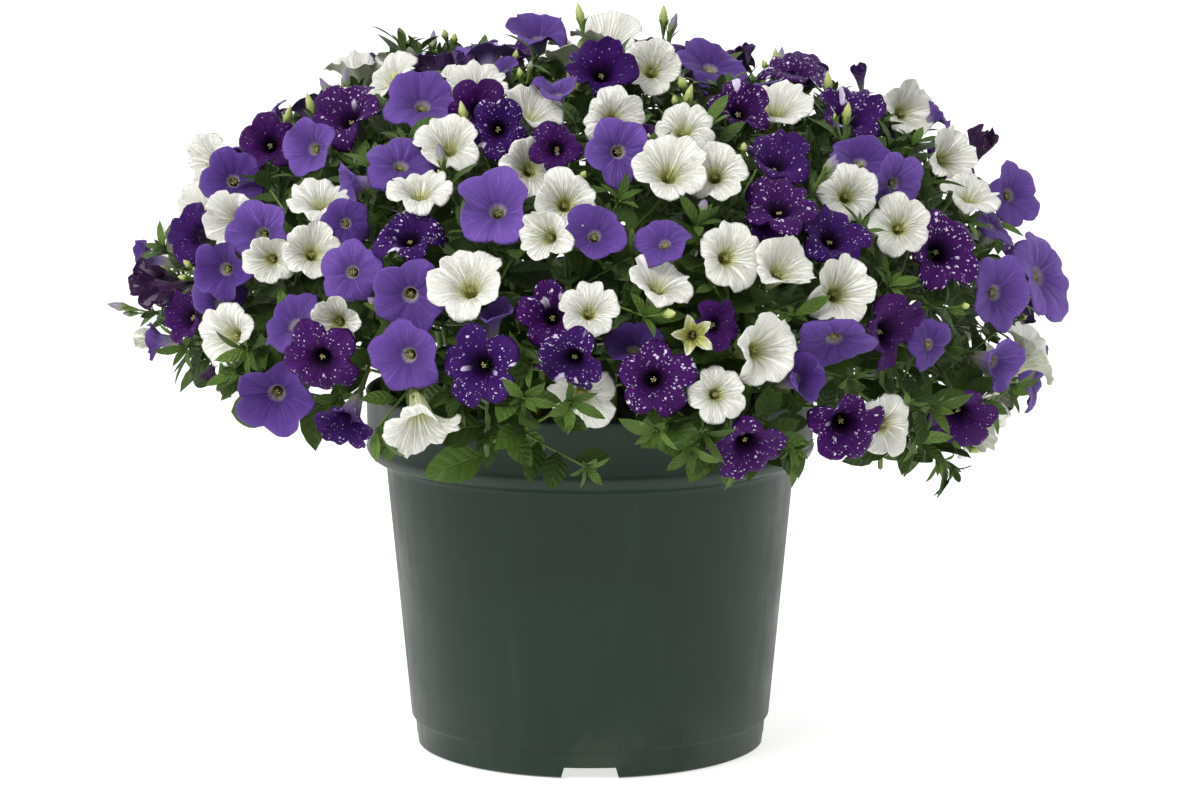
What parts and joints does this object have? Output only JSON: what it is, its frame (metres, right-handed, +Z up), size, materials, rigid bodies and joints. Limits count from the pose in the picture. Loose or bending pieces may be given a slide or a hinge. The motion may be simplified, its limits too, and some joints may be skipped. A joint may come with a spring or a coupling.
{
  "type": "potted petunia plants",
  "caption": "Dense mound of white, violet and speckled purple petunias with green leaves, standing in a dark green plastic pot.",
  "frame": {"origin": "centre of the pot's foot, on the floor under the middle of the plant", "axes": "+Z up along the pot's axis, -Y towards the viewer of the picture, +X to that viewer's right"},
  "size_m": [0.6317, 0.6242, 0.4882],
  "materials": {
    "pot_plastic": "dark green, satin",
    "potting_soil": "dark crumbly peat soil",
    "white_petals": "soft white petals, pale yellow-green throat",
    "violet_petals": "soft lavender-violet petals",
    "speckled_petals": "velvety dark purple petals with white specks",
    "green_leaves": "soft green leaves, finely hairy"
  },
  "bodies": {
    "root": {"leafy_shoot_01": "green_leaves", "leafy_shoot_02": "green_leaves", "leafy_shoot_03": "green_leaves", "leafy_shoot_04": "green_leaves", "leafy_shoot_05": "green_leaves", "leafy_shoot_06": "green_leaves", "leafy_shoot_07": "green_leaves", "leafy_shoot_08": "green_leaves", "leafy_shoot_09": "green_leaves", "leafy_shoot_10": "green_leaves", "leafy_shoot_11": "green_leaves", "leafy_shoot_12": "green_leaves", "leafy_shoot_13": "green_leaves", "pot": "pot_plastic", "soil": "potting_soil", "speckled_spray_01": "speckled_petals", "speckled_spray_02": "speckled_petals", "speckled_spray_03": "speckled_petals", "speckled_spray_04": "speckled_petals", "speckled_spray_05": "speckled_petals", "speckled_spray_06": "speckled_petals", "speckled_spray_07": "speckled_petals", "speckled_spray_08": "speckled_petals", "speckled_spray_09": "speckled_petals", "speckled_spray_10": "speckled_petals", "violet_spray_01": "violet_petals", "violet_spray_02": "violet_petals", "violet_spray_03": "violet_petals", "violet_spray_04": "violet_petals", "violet_spray_05": "violet_petals", "violet_spray_06": "violet_petals", "violet_spray_07": "violet_petals", "violet_spray_08": "violet_petals", "violet_spray_09": "violet_petals", "violet_spray_10": "violet_petals", "white_spray_01": "white_petals", "white_spray_02": "white_petals", "white_spray_03": "white_petals", "white_spray_04": "white_petals", "white_spray_05": "white_petals", "white_spray_06": "white_petals", "white_spray_07": "white_petals", "white_spray_08": "white_petals", "white_spray_09": "white_petals", "white_spray_10": "white_petals"}
  },
  "joints": []
}
